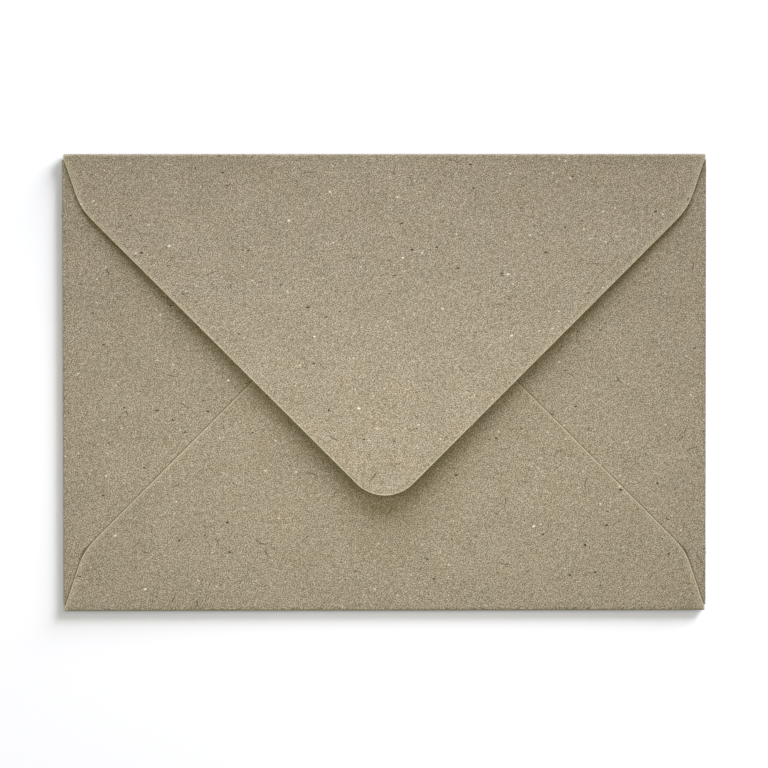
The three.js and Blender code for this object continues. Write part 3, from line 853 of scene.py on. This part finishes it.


# Closure flap. The deep V-shaped flap with a round tip, still unstuck, so its crease holds it
# a few degrees off the back.
CLOSURE_LIFT = math.radians(3)
CLOSURE_COCKLE = 0.0001
CLOSURE_SEED = 2.0
CLOSURE_EDGE_LIFT = 0.00008
CLOSURE_FLAP = {
    "edge": ENVELOPE_HEIGHT / 2, "edge half": ENVELOPE_WIDTH / 2,
    "root half": ENVELOPE_WIDTH / 2 - CORNER_CLEARANCE,
    "depth": 0.086, "shoulder depth": 0.0141, "shoulder inset": 0.0048, "tip radius": 0.01,
    "roll": CLOSURE_ROLL, "roll power": 0.5, "lift": CLOSURE_LIFT, "sag": 0.0005,
}
closure_sheet = folded_flap("closure_sheet", CLOSURE_FLAP, turn=0.0, cockle=CLOSURE_COCKLE,
                            seed=CLOSURE_SEED, edge_lift=CLOSURE_EDGE_LIFT)
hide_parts("closure_flap", "closure_fold")
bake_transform(closure_sheet)


# Gum. A glossy film of dried gum inside the closure flap, along its two slanted edges and round
# the tip. The roller that laid it left faint streaks and a slightly wavy border.
GUM_THICKNESS = 0.00008
GUM_GAP = 0.00001
GUM_INSET, GUM_WIDTH, GUM_START = 0.002, 0.007, 0.006
GUM_STEPS, GUM_ROWS = 300, 14
GUM_TIP_SHARE = 0.2
GUM_WOBBLE, GUM_WOBBLES = 0.0007, 260
GUM_GROUND = (0.3, 0.252, 0.155, 1)
GUM_STREAKS = 600
GUM_SMOOTHEST, GUM_ROUGHER = 0.14, 0.3
GUM_SHEEN = 0.25
GUM_COAT, GUM_COAT_ROUGHNESS = 0.12, 0.18

gum_tree = bpy.data.node_groups.new("gum_band", "GeometryNodeTree")
group_socket(gum_tree, "Geometry", "NodeSocketGeometry")
gum_inputs = (
    "Edge", "Roll", "Lift", "Tip Centre", "Tip Radius", "Lean", "Reach", "Inset", "Width", "Below",
    "Cockle", "Cockle Seed", "Sag",
)
for input_name in gum_inputs:
    group_socket(gum_tree, input_name, "NodeSocketFloat")
group_socket(gum_tree, "Gum", "NodeSocketMaterial")
group_socket(gum_tree, "Geometry", "NodeSocketGeometry", "OUTPUT")
gum_given = gum_tree.nodes.new("NodeGroupInput").outputs
gum_out = gum_tree.nodes.new("NodeGroupOutput")
band_plan = put(gum_tree, "GeometryNodeMeshGrid", Size_X=2.0, Size_Y=1.0,
                Vertices_X=GUM_STEPS + 1, Vertices_Y=GUM_ROWS + 1)
band_grid_spot = put(gum_tree, "GeometryNodeInputPosition").outputs[0]
band_spot = put(gum_tree, "ShaderNodeSeparateXYZ", Vector=band_grid_spot)
along, over = band_spot.outputs[0], math_of(gum_tree, "ADD", band_spot.outputs[1], 0.5)
# From the middle outwards the band follows the tip's arc and then the slanted edge.
from_tip = math_of(gum_tree, "ABSOLUTE", along)
round_part = math_of(gum_tree, "DIVIDE", from_tip, GUM_TIP_SHARE, clamp=True)
straight_part = math_of(gum_tree, "DIVIDE", math_of(gum_tree, "SUBTRACT", from_tip, GUM_TIP_SHARE),
                        1 - GUM_TIP_SHARE, clamp=True)
band_angle = math_of(gum_tree, "MULTIPLY_ADD", round_part,
                     math_of(gum_tree, "SUBTRACT", gum_given["Lean"], math.pi / 2), math.pi / 2)
straight_run = math_of(gum_tree, "MULTIPLY", straight_part, gum_given["Reach"])
wobble_place = put(gum_tree, "ShaderNodeCombineXYZ",
                   X=math_of(gum_tree, "MULTIPLY", along, gum_given["Reach"]),
                   Y=math_of(gum_tree, "MULTIPLY", over, gum_given["Width"]))
wobble = noise_of(gum_tree, wobble_place.outputs[0], GUM_WOBBLES, detail=2).outputs["Fac"]
even_inset = math_of(gum_tree, "MULTIPLY_ADD", over, gum_given["Width"], gum_given["Inset"])
band_inset = math_of(gum_tree, "ADD", even_inset,
                     math_of(gum_tree, "MULTIPLY_ADD", wobble, GUM_WOBBLE, -GUM_WOBBLE / 2))
band_radius = math_of(gum_tree, "SUBTRACT", gum_given["Tip Radius"], band_inset)
lean_sine = math_of(gum_tree, "SINE", gum_given["Lean"])
lean_cosine = math_of(gum_tree, "COSINE", gum_given["Lean"])
band_x = math_of(gum_tree, "ADD",
                 math_of(gum_tree, "MULTIPLY", band_radius, math_of(gum_tree, "COSINE", band_angle)),
                 math_of(gum_tree, "MULTIPLY", straight_run, lean_sine))
band_x = math_of(gum_tree, "MULTIPLY", band_x, math_of(gum_tree, "SIGN", along))
band_y = math_of(gum_tree, "SUBTRACT",
                 math_of(gum_tree, "MULTIPLY", band_radius, math_of(gum_tree, "SINE", band_angle)),
                 math_of(gum_tree, "MULTIPLY", straight_run, lean_cosine))
band_depth = math_of(gum_tree, "ADD", band_y, gum_given["Tip Centre"])
band_run = math_of(gum_tree, "SUBTRACT", band_depth, gum_given["Roll"])
band_rise = rise_of(gum_tree, band_x, band_run, gum_given)
even_level = math_of(gum_tree, "SUBTRACT", gum_given["Roll"], gum_given["Below"])
band_level = math_of(gum_tree, "ADD", band_rise, even_level)
band_place = put(gum_tree, "ShaderNodeCombineXYZ", X=band_x,
                 Y=math_of(gum_tree, "MULTIPLY", band_run, -1.0), Z=band_level)
band_flat_y = math_of(gum_tree, "ADD", band_run, gum_given["Edge"])
band_flat = put(gum_tree, "ShaderNodeCombineXYZ", X=band_x, Y=band_flat_y)
band_marked = marked_with(gum_tree, band_plan.outputs["Mesh"], "sheet", "FLOAT_VECTOR",
                          band_flat.outputs[0])
laid = put(gum_tree, "GeometryNodeSetPosition", Geometry=band_marked, Position=band_place.outputs[0])
downwards = math_of(gum_tree, "MULTIPLY", gum_given["Lift"], -1.0)
hinge_turn = put(gum_tree, "ShaderNodeCombineXYZ", X=downwards)
hinge_y = math_of(gum_tree, "SUBTRACT", gum_given["Edge"], gum_given["Roll"])
hinge_place = put(gum_tree, "ShaderNodeCombineXYZ", Y=hinge_y, Z=gum_given["Roll"])
lifted = put(gum_tree, "GeometryNodeTransform", Geometry=laid.outputs[0],
             Translation=hinge_place.outputs[0], Rotation=hinge_turn.outputs[0])
band_plain = put(gum_tree, "GeometryNodeRealizeInstances", Geometry=lifted.outputs[0])
gummed = put(gum_tree, "GeometryNodeSetMaterial", Geometry=band_plain.outputs[0],
             Material=gum_given["Gum"])
gum_tree.links.new(gummed.outputs[0], gum_out.inputs[0])

dried_gum = paper_material("dried_gum", GUM_GROUND, grain=0.45, relief=0.00001)
gum_shading = dried_gum.node_tree
gum_shader = gum_shading.nodes["Principled BSDF"]
gum_on_sheet = put(gum_shading, "ShaderNodeAttribute", attribute_name="sheet").outputs["Vector"]
streaks = noise_of(gum_shading, gum_on_sheet, GUM_STREAKS, detail=3, roughness=0.6).outputs["Fac"]
gum_rough = math_of(gum_shading, "MULTIPLY_ADD", streaks, GUM_ROUGHER, GUM_SMOOTHEST)
gum_shading.links.new(gum_rough, gum_shader.inputs["Roughness"])
gum_shader.inputs["Specular IOR Level"].default_value = GUM_SHEEN
gum_shader.inputs["Coat Weight"].default_value = GUM_COAT
gum_shader.inputs["Coat Roughness"].default_value = GUM_COAT_ROUGHNESS

gum_values = outline_values(CLOSURE_FLAP)
gum_lean = math.atan(gum_values["Slant Slope"])
shoulder_half = CLOSURE_FLAP["edge half"] - CLOSURE_FLAP["shoulder inset"]
slant_length = math.hypot(
    shoulder_half - gum_values["Tip Radius"] * math.cos(gum_lean),
    gum_values["Round From"] - CLOSURE_FLAP["shoulder depth"],
)
gum_values.update({
    "Edge": CLOSURE_FLAP["edge"], "Roll": CLOSURE_ROLL, "Lift": CLOSURE_LIFT, "Lean": gum_lean,
    "Reach": slant_length - GUM_START, "Inset": GUM_INSET, "Width": GUM_WIDTH,
    "Below": PAPER_THICKNESS + GUM_GAP, "Cockle": CLOSURE_COCKLE, "Cockle Seed": CLOSURE_SEED,
    "Sag": CLOSURE_FLAP["sag"], "Gum": dried_gum,
})
gum_plan = bpy.data.objects.new("gum_plan", bpy.data.meshes.new("gum_plan"))
bpy.context.collection.objects.link(gum_plan)
run_tree(gum_plan, gum_tree, gum_values)
gum_film = finished_film("gum_film", gum_plan, GUM_THICKNESS, (dried_gum,))
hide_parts("closure_gum")
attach(gum_film, "closure")
